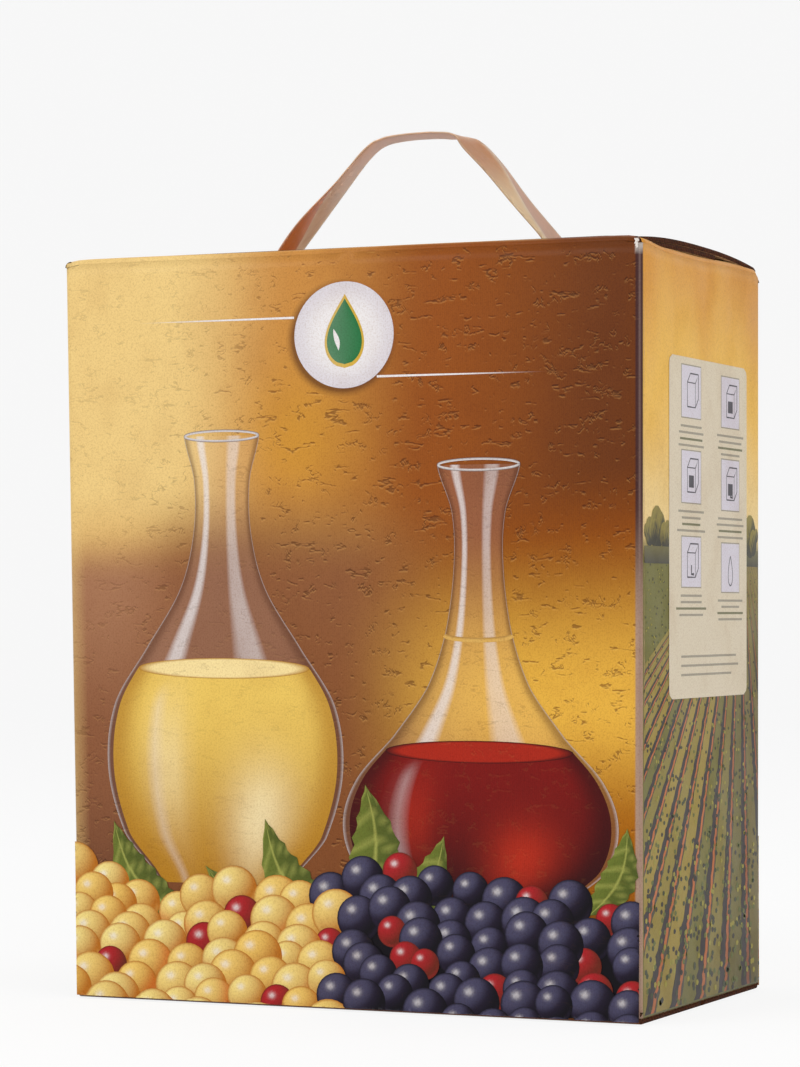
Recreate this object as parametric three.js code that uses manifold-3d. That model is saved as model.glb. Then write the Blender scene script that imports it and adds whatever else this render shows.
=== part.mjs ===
// A five litre bag in box: a glued microflute carton with a film strap handle on its top, and inside it
// a filled bag with its spout and tap. Millimetres, +Z up, the front faces -Y, the origin lies under the
// middle of the whole object.
import * as THREE from 'three';
import { mergeVertices } from 'three/addons/utils/BufferGeometryUtils.js';
import Module from 'manifold-3d';

const wasm = await Module();
wasm.setup();

// Carton.
const width = 203;              // across the front, at the foot
const depth = 121;
const height = 250;             // foot to the rear top fold
const board = 1.5;              // microflute board
const edgeRadius = 2.2;         // upright folds, outside
const creaseRadius = 2;         // top and bottom folds, outside
const gap = 0.3;                // glue line, and clearance between pieces
const lean = 4.8;               // the left side leans out this far at the top
const bow = 2.4;                // the glued top rises this far at mid depth
const bowPower = 2.5;           // how flat the middle of that rise is
const frontFoldDrop = 0.5;      // the front top fold lies this far under the rear one
const sideFoldDrop = 1.2;       // the side top folds lie this far under the rear one
const innerFlapReach = 75;      // the front top flap, from the front face
const outerFlapSetback = 5.5;   // the rear top flap ends this far behind the front face
const dustFlapReach = 42;       // the side flaps, from the side face
const dustFlapSetback = 4;      // the side flaps end this far from the front and rear faces
const dustFlapSink = 3;         // the side top flaps slope down this far
const dustSlopeRun = 12;        // over this length
const bottomSeam = 0.6;         // between the two bottom flaps
const lapWidth = 30;            // glue lap inside the rear left corner
const lapEndInset = 12;

// Tear-out panel in the left side, in front of the tap.
const tapHeight = 46;           // tap axis over the foot
const tearWidth = 72;
const tearHeight = 72;
const tearRadius = 22;
const cutLength = 7;            // one cut of its perforation
const nickLength = 1.5;         // the board left between two cuts
const cutWidth = 0.5;

// Handle strap.
const strapWidth = 21;
const strapThickness = 0.6;
const strapCrease = 1;          // the lengthwise crease stands up this far
const slitSpan = 104.5;         // from slit to slit
const strapShift = -0.75;       // the middle of the slits, from the carton's middle
const strapRise = 43.9;         // crown over the rear top fold
const slitSlack = 0.9;          // room on each side of the strap in its slit
const anchorWidth = 30;
const anchorLength = 14;
const anchorThickness = 1.2;

// Bag.
const headspace = 23.4;          // over the bag, up to the rear top fold
const bagGap = 0.5;             // between the bag and the panels
const bagEdge = 18;             // roundness of the filled bag
const finHeight = 8;            // welded top seam
const finThickness = 1;
const finInset = 14;            // the seam's ends, from the bag's sides
const dentRadius = 37;          // the bag gives way around the tap

// Spout and tap, measured along their axis from the bag outwards.
const spoutBore = 12.8;
const spoutRadius = 15;
const spoutLength = 13;
const spoutFlangeRadius = 21;
const spoutFlange = 1.4;
const collarRadius = 18;
const collarThickness = 1.4;
const collarStations = [5, 9.8];
const plugLength = 11;
const tapWall = 2;
const barrelRadius = 15;
const barrelLength = 18;
const rimRadius = 17;
const rimThickness = 2;
const nozzleRadius = 8;
const nozzleReach = 26;         // nozzle mouth under the tap axis
const wingSpan = 56;
const wingWidth = 13;
const wingThickness = 2.4;
const spindleRadius = 2.6;
const valveRadius = 9.6;
const valveThickness = 2;
const leverSpan = 40;
const leverWidth = 15;
const leverThickness = 2.6;
const sealWidth = 6;
const sealThickness = 0.8;

const top = height;
const halfWidth = width / 2;
const halfDepth = depth / 2;

function material(color, roughness) {
  return new THREE.MeshStandardMaterial({ color, roughness, metalness: 0 });
}

const boardPrint = material(0xb9853f, 0.35);
const strapFilm = material(0xa6703a, 0.3);
const bagFilm = material(0xc9ccd0, 0.25);
const palePlastic = material(0xe6e4de, 0.45);
const greyPlastic = material(0x8c8f92, 0.45);
const redPlastic = material(0xa5252b, 0.4);

// Turns a closed three.js geometry into a solid that can be joined and cut.
function solid(geometry) {
  const bare = geometry.index ? geometry.toNonIndexed() : geometry.clone();
  bare.deleteAttribute('normal');
  bare.deleteAttribute('uv');
  const merged = mergeVertices(bare, 1e-4);
  return new wasm.Manifold(new wasm.Mesh({
    numProp: 3,
    vertProperties: new Float32Array(merged.attributes.position.array),
    triVerts: new Uint32Array(merged.index.array),
  }));
}

// Gives a solid back as a three.js geometry.
function geometryOf(body) {
  const mesh = body.getMesh();
  const geometry = new THREE.BufferGeometry();
  geometry.setAttribute('position', new THREE.BufferAttribute(new Float32Array(mesh.vertProperties), 3));
  geometry.setIndex(new THREE.BufferAttribute(new Uint32Array(mesh.triVerts), 1));
  geometry.computeVertexNormals();
  return geometry;
}

function boxSolid(x0, x1, y0, y1, z0, z1) {
  const box = new THREE.BoxGeometry(x1 - x0, y1 - y0, z1 - z0);
  box.translate((x0 + x1) / 2, (y0 + y1) / 2, (z0 + z1) / 2);
  return solid(box);
}

function roundedRectangle(halfX, halfY, radius) {
  const shape = new THREE.Shape();
  shape.moveTo(halfX, -halfY + radius);
  shape.lineTo(halfX, halfY - radius);
  shape.absarc(halfX - radius, halfY - radius, radius, 0, Math.PI / 2);
  shape.lineTo(-halfX + radius, halfY);
  shape.absarc(-halfX + radius, halfY - radius, radius, Math.PI / 2, Math.PI);
  shape.lineTo(-halfX, -halfY + radius);
  shape.absarc(-halfX + radius, -halfY + radius, radius, Math.PI, 1.5 * Math.PI);
  shape.lineTo(halfX - radius, -halfY);
  shape.absarc(halfX - radius, -halfY + radius, radius, 1.5 * Math.PI, 2 * Math.PI);
  return shape;
}

// How far the left side leans out at a height.
function leanAt(z) {
  return lean * z / height;
}

// Spreads a geometry that is built square to the leaning left side. The right half keeps its place.
function leanLeft(geometry) {
  const position = geometry.attributes.position;
  for (let i = 0; i < position.count; i++) {
    const x = position.getX(i);
    if (x < 0) position.setX(i, x * (1 + leanAt(position.getZ(i)) / halfWidth));
  }
  geometry.computeVertexNormals();
  return geometry;
}

// Height of the bowed top over the rear fold, at a distance from the carton's middle plane.
function bowAt(y) {
  return bow * (1 - Math.min(1, Math.abs(y) / (halfDepth - creaseRadius)) ** bowPower);
}

// Points of an outside fold, a quarter turn from an upright panel into a flap.
function foldPoints(face, crest, side, steps = 5) {
  const points = [];
  for (let i = 0; i <= steps; i++) {
    const angle = (i / steps) * Math.PI / 2;
    points.push(new THREE.Vector2(
      face - creaseRadius + creaseRadius * Math.cos(angle),
      crest + side * (-creaseRadius + creaseRadius * Math.sin(angle)),
    ));
  }
  return points;
}

// A strip of board as thick as the board, inside a line of points on its outer face.
function boardOutline(points) {
  const inner = points.map((point, i) => {
    const before = points[Math.max(0, i - 1)];
    const after = points[Math.min(points.length - 1, i + 1)];
    const along = after.clone().sub(before).normalize();
    return new THREE.Vector2(point.x - along.y * board, point.y + along.x * board);
  });
  return new THREE.Shape([...points, ...inner.reverse()]);
}

// Extrudes a section, drawn as distance from the middle and height, along one panel of the carton.
function alongPanel(shape, length, turn) {
  const geometry = new THREE.ExtrudeGeometry(shape, { depth: length, bevelEnabled: false });
  geometry.translate(0, 0, -length / 2);
  geometry.rotateX(Math.PI / 2);
  geometry.rotateZ(turn);
  return solid(geometry);
}

const rightTurn = 0;
const rearTurn = Math.PI / 2;
const leftTurn = Math.PI;
const frontTurn = -Math.PI / 2;

const bowSteps = 14;
const underFlap = board + gap;

function range(from, to, steps) {
  return Array.from({ length: steps + 1 }, (_, i) => from + (to - from) * i / steps);
}

// Bottom flap, panel and top flap of the front, as one strip. The top flap lies under the rear one.
function frontSection() {
  const tuck = halfDepth - outerFlapSetback;
  const reach = halfDepth - innerFlapReach;
  const bottom = [new THREE.Vector2(bottomSeam / 2, 0), ...foldPoints(halfDepth, 0, -1).reverse()];
  const fold = foldPoints(halfDepth, top - frontFoldDrop, 1);
  const flap = range(tuck, reach, bowSteps)
    .map((y) => new THREE.Vector2(y, top + bowAt(y) - underFlap));
  return boardOutline([...bottom, ...fold, ...flap]);
}

// The rear panel with its bottom flap, and the full top flap that closes the carton.
function rearSection() {
  const bottom = [new THREE.Vector2(bottomSeam / 2, 0), ...foldPoints(halfDepth, 0, -1).reverse()];
  const fold = foldPoints(halfDepth, top, 1);
  const flap = range(halfDepth - creaseRadius, outerFlapSetback - halfDepth, bowSteps).slice(1)
    .map((y) => new THREE.Vector2(y, top + bowAt(y)));
  return boardOutline([...bottom, ...fold, ...flap]);
}

function sidePoints() {
  const crest = top - sideFoldDrop;
  const slopeEnd = halfWidth - creaseRadius - dustSlopeRun;
  const flapEnd = halfWidth - dustFlapReach;
  const bottomCrest = board + gap;
  return [
    new THREE.Vector2(flapEnd, bottomCrest),
    ...foldPoints(halfWidth, bottomCrest, -1, 4).reverse(),
    ...foldPoints(halfWidth, crest, 1, 4),
    new THREE.Vector2(slopeEnd, crest - dustFlapSink),
    new THREE.Vector2(flapEnd, crest - dustFlapSink),
  ];
}

// One side panel with its two dust flaps, which are narrower than the panel.
function sidePanel(turn) {
  const strip = alongPanel(boardOutline(sidePoints()), depth - board, turn);
  const flapRoom = halfWidth - 2 * creaseRadius;
  const cutHeight = 3 * board + dustFlapSink + sideFoldDrop;
  return [-1, 1].reduce((panel, end) => {
    const y0 = end > 0 ? halfDepth - dustFlapSetback : -halfDepth;
    const y1 = end > 0 ? halfDepth : dustFlapSetback - halfDepth;
    return panel
      .subtract(boxSolid(-flapRoom, flapRoom, y0, y1, -1, cutHeight))
      .subtract(boxSolid(-flapRoom, flapRoom, y0, y1, top - cutHeight, top + 1));
  }, strip);
}

// The room that the side folds take under the main top flaps, whose board is crushed there.
function crushedRoom(turn) {
  const crest = top - sideFoldDrop;
  const slopeEnd = halfWidth - creaseRadius - dustSlopeRun;
  const outline = new THREE.Shape([
    new THREE.Vector2(halfWidth + 1, crest - 2 * creaseRadius),
    new THREE.Vector2(halfWidth + 1, crest + gap),
    new THREE.Vector2(halfWidth - creaseRadius, crest + gap),
    new THREE.Vector2(slopeEnd, crest - dustFlapSink + gap),
    new THREE.Vector2(slopeEnd, crest - dustFlapSink - board),
  ]);
  return alongPanel(outline, depth - 2 * (edgeRadius + gap), turn);
}

// Places of the perforation's cuts round the tear-out panel: arch shaped, with square lower corners.
function tearOutline() {
  const shape = new THREE.Shape();
  const half = tearWidth / 2;
  shape.moveTo(-half, 0);
  shape.lineTo(half, 0);
  shape.lineTo(half, tearHeight - tearRadius);
  shape.absarc(half - tearRadius, tearHeight - tearRadius, tearRadius, 0, Math.PI / 2);
  shape.lineTo(-half + tearRadius, tearHeight);
  shape.absarc(-half + tearRadius, tearHeight - tearRadius, tearRadius, Math.PI / 2, Math.PI);
  shape.lineTo(-half, 0);
  return shape;
}

function perforationCuts() {
  const outline = tearOutline();
  const pitch = cutLength + nickLength;
  const count = Math.floor(outline.getLength() / pitch);
  const bottom = tapHeight - tearHeight / 2;
  return Array.from({ length: count }, (_, i) => {
    const at = (i + 0.5) / count;
    const point = outline.getPointAt(at);
    const tangent = outline.getTangentAt(at);
    const cut = new THREE.BoxGeometry(4 * board, cutLength, cutWidth);
    cut.rotateX(Math.atan2(tangent.y, tangent.x));
    cut.translate(-halfWidth, point.x, bottom + point.y);
    return solid(cut);
  });
}

// The cut between the rear panel's free edge and the lap, which continues the left side inside it.
function withGlueLap(body) {
  const rear = halfDepth - board;
  const inside = 2 * (board + gap);
  const parting = boxSolid(-halfWidth - 1, -halfWidth + lapWidth, rear - gap, rear, inside, top - frontFoldDrop - inside);
  const lap = boxSolid(
    -halfWidth + board / 2, -halfWidth + lapWidth, rear - gap - board, rear - gap, lapEndInset, top - lapEndInset,
  );
  return body.add(lap).subtract(parting);
}

const slitPlaces = [strapShift - slitSpan / 2, strapShift + slitSpan / 2];

function cartonGeometry() {
  const mainPanels = [
    alongPanel(frontSection(), width, frontTurn),
    alongPanel(rearSection(), width, rearTurn),
  ].map((panel) => panel.subtract(crushedRoom(rightTurn)).subtract(crushedRoom(leftTurn)));
  let body = mainPanels[0].add(mainPanels[1]).add(sidePanel(rightTurn)).add(sidePanel(leftTurn));

  const prism = new THREE.ExtrudeGeometry(
    roundedRectangle(halfWidth, halfDepth, edgeRadius),
    { depth: height + 2 * bow, bevelEnabled: false, curveSegments: 6 },
  );
  body = body.intersect(solid(prism));
  body = withGlueLap(body);

  for (const cut of perforationCuts()) body = body.subtract(cut);

  body = solid(leanLeft(geometryOf(body)));
  const slitHalf = strapThickness / 2 + slitSlack;
  const slitReach = strapWidth / 2 + slitSlack;
  const slitFoot = top - 2 * underFlap;
  const slitHead = top + 2 * bow;
  for (const x of slitPlaces) {
    body = body.subtract(boxSolid(x - slitHalf, x + slitHalf, -slitReach, slitReach, slitFoot, slitHead));
  }
  return geometryOf(body);
}

// Places along the strap, as shares of the way from slit to slit and of its rise. It leaves both slits
// upright, bends inwards at once, and its left leg is the flatter one.
const strapCourse = [
  [0, 0.02], [0.002, 0.06], [0.014, 0.11], [0.089, 0.33], [0.238, 0.69], [0.318, 0.89], [0.392, 0.965],
  [0.488, 1], [0.584, 0.988], [0.675, 0.915], [0.766, 0.70], [0.853, 0.44], [0.930, 0.225],
  [0.986, 0.11], [0.998, 0.06], [1, 0.02],
];

function strapGeometry() {
  const underside = top + bow - 2 * board - gap - gap;
  const [left, right] = slitPlaces;
  const foot = underside - anchorThickness / 2;
  const points = strapCourse.map(([along, rise]) => new THREE.Vector3(left + along * slitSpan, 0, top + bow + rise * (strapRise - bow)));
  points.unshift(new THREE.Vector3(left, 0, foot));
  points.push(new THREE.Vector3(right, 0, foot));
  const course = new THREE.CatmullRomCurve3(points, false, 'centripetal');

  const half = strapWidth / 2;
  const section = new THREE.Shape([
    new THREE.Vector2(-half, 0),
    new THREE.Vector2(0, strapCrease),
    new THREE.Vector2(half, 0),
    new THREE.Vector2(half, -strapThickness),
    new THREE.Vector2(0, strapCrease - strapThickness),
    new THREE.Vector2(-half, -strapThickness),
  ]);
  const strip = new THREE.ExtrudeGeometry(section, { extrudePath: course, steps: 56, bevelEnabled: false });
  const anchors = [1, -1].map((inwards, i) => {
    const x = slitPlaces[i];
    const ends = [x - inwards * anchorThickness, x + inwards * anchorLength].sort((a, b) => a - b);
    return boxSolid(...ends, -anchorWidth / 2, anchorWidth / 2, underside - anchorThickness, underside);
  });
  return geometryOf(solid(strip).add(anchors[0]).add(anchors[1]));
}

// The tap's place: its group looks out through the left side, and its own axis is +Z.
const bagFloor = 2 * (board + gap);
const bagHeight = top - headspace - bagFloor;
const tapLength = spoutLength + rimThickness + barrelLength + leverThickness + sealThickness + 3 * gap;
const dentFloor = -halfWidth - leanAt(tapHeight) + board + 2 * bagGap + tapLength + gap;

function bagGeometry() {
  const x1 = halfWidth - board - bagGap;
  const y0 = -halfDepth + board + bagGap;
  const y1 = halfDepth - 2 * board - gap - bagGap;
  const outline = roundedRectangle(x1 - bagEdge, (y1 - y0) / 2 - bagEdge, 1);
  const pillow = new THREE.ExtrudeGeometry(outline, {
    depth: bagHeight - 2 * bagEdge, bevelEnabled: true, bevelSize: bagEdge, bevelThickness: bagEdge,
    bevelSegments: 6, curveSegments: 3,
  });
  pillow.translate(0, (y0 + y1) / 2, bagFloor + bagEdge);
  const finEnd = x1 - finInset;
  const finFoot = bagFloor + bagHeight - finThickness;
  const middle = (y0 + y1) / 2;
  const fin = boxSolid(
    -finEnd, finEnd, middle - finThickness / 2, middle + finThickness / 2, finFoot, finFoot + finThickness + finHeight,
  );
  const dent = new THREE.CylinderGeometry(dentRadius, dentRadius * 0.8, width, 32);
  dent.rotateZ(Math.PI / 2);
  dent.translate(dentFloor + gap - width / 2, 0, tapHeight);
  const leaning = solid(leanLeft(geometryOf(solid(pillow).add(fin))));
  return geometryOf(leaning.subtract(solid(dent)));
}

function lathe(points, segments = 28) {
  const profile = points.map(([radius, z]) => new THREE.Vector2(radius, z));
  const geometry = new THREE.LatheGeometry([...profile, profile[0]], segments);
  geometry.rotateX(Math.PI / 2);
  return geometry;
}

function disc(radius, z0, z1, segments = 28) {
  const geometry = new THREE.CylinderGeometry(radius, radius, z1 - z0, segments);
  geometry.rotateX(Math.PI / 2);
  geometry.translate(0, 0, (z0 + z1) / 2);
  return solid(geometry);
}

function spoutGeometry() {
  const outside = collarStations.flatMap((z) => [
    [spoutRadius, z], [collarRadius, z], [collarRadius, z + collarThickness], [spoutRadius, z + collarThickness],
  ]);
  return lathe([
    [spoutBore, 0], [spoutFlangeRadius, 0], [spoutFlangeRadius, spoutFlange], [spoutRadius, spoutFlange],
    ...outside, [spoutRadius, spoutLength], [spoutBore, spoutLength],
  ]);
}

const rimStart = spoutLength + gap;
const barrelStart = rimStart + rimThickness;
const barrelEnd = barrelStart + barrelLength;

function tapBodyGeometry() {
  const plugRadius = spoutBore - gap;
  const nozzleAxis = (barrelStart + barrelEnd) / 2;
  const wings = new THREE.ExtrudeGeometry(roundedRectangle(wingSpan / 2, wingWidth / 2, wingWidth / 2 - 0.5), {
    depth: wingThickness, bevelEnabled: false, curveSegments: 6,
  });
  wings.translate(0, 0, barrelStart + wingThickness);
  const nozzle = new THREE.CylinderGeometry(nozzleRadius, nozzleRadius, nozzleReach, 24);
  nozzle.translate(0, -nozzleReach / 2, nozzleAxis);
  const channel = new THREE.CylinderGeometry(nozzleRadius - tapWall, nozzleRadius - tapWall, nozzleReach + 1, 24);
  channel.translate(0, -(nozzleReach + 1) / 2, nozzleAxis);
  const outside = disc(plugRadius, rimStart - plugLength, rimStart + rimThickness)
    .add(disc(rimRadius, rimStart, barrelStart))
    .add(disc(barrelRadius, barrelStart, barrelEnd))
    .add(solid(wings))
    .add(solid(nozzle));
  return geometryOf(outside
    .subtract(disc(plugRadius - tapWall, rimStart - plugLength - 1, barrelEnd - tapWall))
    .subtract(solid(channel))
    .subtract(disc(spindleRadius + gap, barrelEnd - tapWall - 1, barrelEnd + 1)));
}

const leverStart = barrelEnd + gap;
const leverEnd = leverStart + leverThickness;

// The valve's stem passes through the barrel's front wall and sits in the lever's hub.
function spindleGeometry() {
  const valveStart = rimStart;
  return geometryOf(disc(valveRadius, valveStart, valveStart + valveThickness, 24)
    .add(disc(spindleRadius, valveStart, leverStart + leverThickness / 2, 20)));
}

function leverGeometry() {
  const plate = new THREE.ExtrudeGeometry(roundedRectangle(leverSpan / 2, leverWidth / 2, leverWidth / 2 - 0.5), {
    depth: leverThickness, bevelEnabled: false, curveSegments: 6,
  });
  plate.translate(0, 0, leverStart);
  const socket = disc(spindleRadius + gap, leverStart - 1, leverStart + leverThickness / 2 + gap, 20);
  return geometryOf(solid(plate).subtract(socket));
}

// The seal lies over the lever and turns down both sides of the barrel to its rim.
function sealGeometry() {
  const reach = barrelRadius + gap;
  const half = sealWidth / 2;
  const front = leverEnd + gap;
  const footStart = barrelStart + 2 * wingThickness + gap;
  const band = boxSolid(-half, half, -leverWidth / 2, reach + sealThickness, front, front + sealThickness);
  const leg = boxSolid(-half, half, reach, reach + sealThickness, footStart, front + sealThickness);
  return geometryOf(band.add(leg));
}

function named(name, geometry, surface) {
  const mesh = new THREE.Mesh(geometry, surface);
  mesh.name = name;
  return mesh;
}

const carton = named('carton', cartonGeometry(), boardPrint);
const strap = named('handle_strap', strapGeometry(), strapFilm);
const bag = named('wine_bag', bagGeometry(), bagFilm);

const tap = new THREE.Group();
tap.add(named('spout', spoutGeometry(), palePlastic));
tap.add(named('tap_body', tapBodyGeometry(), greyPlastic));
tap.add(named('tap_spindle', spindleGeometry(), palePlastic));
tap.add(named('tap_lever', leverGeometry(), redPlastic));
tap.add(named('tap_seal', sealGeometry(), palePlastic));
tap.setRotationFromMatrix(new THREE.Matrix4().makeBasis(
  new THREE.Vector3(0, -1, 0),
  new THREE.Vector3(0, 0, 1),
  new THREE.Vector3(-1, 0, 0),
));
tap.position.set(dentFloor, 0, tapHeight);

const group = new THREE.Group();
group.add(carton, strap, bag, tap);
group.position.x = lean / 2;

export default group;
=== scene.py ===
"""A five litre bag in box carton: printed microflute board, folded, glued and showing wear, with a film
strap.

The board is modelled as the folded sheets that it is made of. The print is fields of colour and simple
shapes, laid over the panels as thin ink and sharing one varnished board material.
"""

import random
from math import atan2, cos, exp, hypot, pi, radians, sin, sqrt

import bpy
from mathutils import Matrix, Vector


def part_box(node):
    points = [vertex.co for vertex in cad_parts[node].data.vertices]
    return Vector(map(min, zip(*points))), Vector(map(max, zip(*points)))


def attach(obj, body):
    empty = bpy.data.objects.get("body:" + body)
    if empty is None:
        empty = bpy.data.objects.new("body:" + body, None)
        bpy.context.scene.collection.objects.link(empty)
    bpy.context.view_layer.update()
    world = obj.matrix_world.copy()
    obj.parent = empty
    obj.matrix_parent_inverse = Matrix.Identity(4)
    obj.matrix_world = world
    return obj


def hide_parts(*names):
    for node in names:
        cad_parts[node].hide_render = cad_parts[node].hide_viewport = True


MM = 0.001

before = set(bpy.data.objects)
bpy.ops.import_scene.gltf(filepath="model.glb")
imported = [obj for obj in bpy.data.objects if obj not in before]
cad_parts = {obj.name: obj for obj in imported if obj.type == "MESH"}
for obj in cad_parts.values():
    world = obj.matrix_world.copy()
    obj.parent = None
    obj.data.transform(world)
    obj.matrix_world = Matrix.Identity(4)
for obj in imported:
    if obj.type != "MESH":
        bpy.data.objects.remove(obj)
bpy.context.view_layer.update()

# Places taken from the frame, in millimetres.
carton_low, carton_high = (tuple(v / MM for v in corner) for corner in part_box("carton"))
WIDTH = 203.0                        # across the front, at the foot
LEAN = 4.8                           # the left side leans out this far at the top
BOW = 2.4                            # the glued top rises this far at mid depth
BOARD = 1.5
RIGHT = carton_high[0]
FRONT = carton_low[1]
REAR = carton_high[1]
TOP = carton_high[2] - BOW
MIDDLE = RIGHT - WIDTH / 2
HALF_WIDTH = WIDTH / 2
DEPTH = REAR - FRONT
HALF_DEPTH = DEPTH / 2

EDGE_RADIUS = 2.2                    # upright folds
FOLD_RADIUS = 2.0                    # top and bottom folds
GRID_STEP = 4.0                      # spacing of the panels' points
TURN_STEPS = 6                       # steps round a quarter fold
SIDE_GAP = 0.7                       # from a flap's cut end to the wall's outer face
PLY_GAP = 0.3                        # between sheets that lie on or meet each other
OUTER_REACH = DEPTH - 2.6            # how far each flap reaches in
INNER_REACH = 75.0
DUST_REACH = 42.0
SLITS = (-53.0, 51.5)                # places of the strap's two slits, across the top


def smooth(low, high, value):
    """0 below low, 1 above high, and an even curve between; low may be over high."""
    share = min(1.0, max(0.0, (value - low) / (high - low)))
    return share * share * (3.0 - 2.0 * share)


def mix(first, second, share):
    return tuple(a + (b - a) * share for a, b in zip(first, second))


def ink(red, green, blue):
    """A colour given as 0 to 255 screen values, as the linear values that shaders use."""
    def linear(value):
        value /= 255.0
        return value / 12.92 if value <= 0.04045 else ((value + 0.055) / 1.055) ** 2.4
    return (linear(red), linear(green), linear(blue))


def glow(u, z, centre_u, centre_z, radius_u, radius_z):
    """A soft round field, 1 at its centre."""
    return exp(-((u - centre_u) / radius_u) ** 2 - ((z - centre_z) / radius_z) ** 2)


def eased(before, first, second, after, k):
    """The value at a share k from first to second, on a smooth line through all four."""
    slope = second - before
    bend = 2 * before - 5 * first + 4 * second - after
    turn = 3 * first - before - 3 * second + after
    return 0.5 * (2 * first + slope * k + bend * k * k + turn * k ** 3)


def steps(low, high, spacing):
    """Even places from low to high, about as far apart as the spacing."""
    count = max(1, round(abs(high - low) / spacing))
    return [low + (high - low) * i / count for i in range(count + 1)]


# Meshes

class Build:
    """Collects grids of points with their inks and makes one mesh of them.

    An ink is a colour; a fourth number says how strong the cracks in the varnish are there.
    """

    def __init__(self):
        self.points, self.inks, self.faces, self.slots = [], [], [], []

    def grid(self, rows, inks, slot=0, flip=False):
        start, across = len(self.points), len(rows[0])
        for row, row_inks in zip(rows, inks):
            self.points.extend(row)
            self.inks.extend(row_inks)
        for i in range(len(rows) - 1):
            for j in range(across - 1):
                a = start + i * across + j
                face = (a, a + 1, a + across + 1, a + across)
                self.faces.append(face[::-1] if flip else face)
                self.slots.append(slot)

    def make(self, name, materials, merge=0.0):
        mesh = bpy.data.meshes.new(name)
        mesh.from_pydata([tuple(c * MM for c in p) for p in self.points], [], self.faces)
        colours = mesh.color_attributes.new("ink", "FLOAT_COLOR", "POINT")
        for i, colour in enumerate(self.inks):
            colours.data[i].color = colour if len(colour) == 4 else (*colour, 0.0)
        for polygon, slot in zip(mesh.polygons, self.slots):
            polygon.material_index = slot
            polygon.use_smooth = True
        for material in materials:
            mesh.materials.append(material)
        piece = bpy.data.objects.new(name, mesh)
        bpy.context.collection.objects.link(piece)
        if merge:
            weld = piece.modifiers.new("weld", "WELD")
            weld.merge_threshold = merge * MM
        return piece


def thicken(piece, thickness, offset, next_material):
    """Makes a sheet thick, with its back and its rim in the next materials, and applies its modifiers."""
    thick = piece.modifiers.new("thickness", "SOLIDIFY")
    thick.thickness = thickness * MM
    thick.offset = offset
    thick.material_offset = next_material
    thick.material_offset_rim = 2 * next_material
    bpy.context.view_layer.objects.active = piece
    for other in bpy.context.selected_objects:
        other.select_set(False)
    piece.select_set(True)
    for modifier in list(piece.modifiers):
        bpy.ops.object.modifier_apply(modifier=modifier.name)


# Node helpers

class Nodes:
    """Short ways to add and join the nodes of one material, or of the world."""

    def __init__(self, name, world=False):
        self.owner = (bpy.data.worlds if world else bpy.data.materials).new(name)
        self.owner.use_nodes = True
        self.tree = self.owner.node_tree
        self.shader = self.tree.nodes.get("Principled BSDF")

    def add(self, kind, **values):
        node = self.tree.nodes.new(kind)
        for key, value in values.items():
            setattr(node, key, value)
        return node

    def join(self, source, target):
        self.tree.links.new(source, target)

    def fill(self, node, inputs):
        """Gives each input its value, or joins it to the output that is given for it."""
        for key, value in inputs.items():
            if hasattr(value, "links"):
                self.join(value, node.inputs[key])
            else:
                node.inputs[key].default_value = value
        return node

    def math(self, operation, first, second=0.0):
        return self.fill(self.add("ShaderNodeMath", operation=operation), {0: first, 1: second}).outputs[0]

    def ramp(self, value, low, high, to_low=0.0, to_high=1.0):
        node = self.add("ShaderNodeMapRange", clamp=True, interpolation_type="SMOOTHSTEP")
        ends = {"From Min": low, "From Max": high, "To Min": to_low, "To Max": to_high}
        return self.fill(node, {"Value": value, **ends}).outputs["Result"]

    def place(self, scale=(1, 1, 1), offset=(0, 0, 0)):
        """The point on the object, in millimetres, stretched and moved."""
        point = self.add("ShaderNodeTexCoord").outputs["Object"]
        scale = tuple(s / MM for s in scale)
        mapping = self.add("ShaderNodeMapping")
        return self.fill(mapping, {"Vector": point, "Location": offset, "Scale": scale}).outputs["Vector"]

    def noise(self, vector, scale, detail=2.0, roughness=0.5, distortion=0.0):
        kind = {"Scale": scale, "Detail": detail, "Roughness": roughness, "Distortion": distortion}
        return self.fill(self.add("ShaderNodeTexNoise"), {"Vector": vector, **kind}).outputs["Fac"]

    def flutes(self, vector, direction, scale, distortion):
        node = self.add("ShaderNodeTexWave", wave_type="BANDS", bands_direction=direction)
        return self.fill(node, {"Vector": vector, "Scale": scale, "Distortion": distortion}).outputs["Fac"]

    def blend(self, kind, factor, first, second):
        node = self.add("ShaderNodeMix", data_type="RGBA", blend_type=kind)
        first, second = (v if hasattr(v, "links") else (*v, 1.0) for v in (first, second))
        return self.fill(node, {0: factor, 6: first, 7: second}).outputs[2]

    def bump(self, height, distance, strength=1.0, below=None):
        node = self.add("ShaderNodeBump")
        self.fill(node, {"Strength": strength, "Distance": distance * MM, "Height": height})
        if below is not None:
            self.join(below, node.inputs["Normal"])
        return node.outputs["Normal"]

    def seen(self):
        """1 for a ray that shows the background: straight, in gloss or through film."""
        path = self.add("ShaderNodeLightPath")
        result = path.outputs["Is Camera Ray"]
        for ray in ("Is Glossy Ray", "Is Transmission Ray"):
            result = self.math("MAXIMUM", result, path.outputs[ray])
        return result

    def finish(self, colour, normal, settings):
        """The material, with its colour, its relief and its plain settings."""
        self.fill(self.shader, {"Base Color": colour, "Normal": normal, **settings})
        return self.owner


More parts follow.
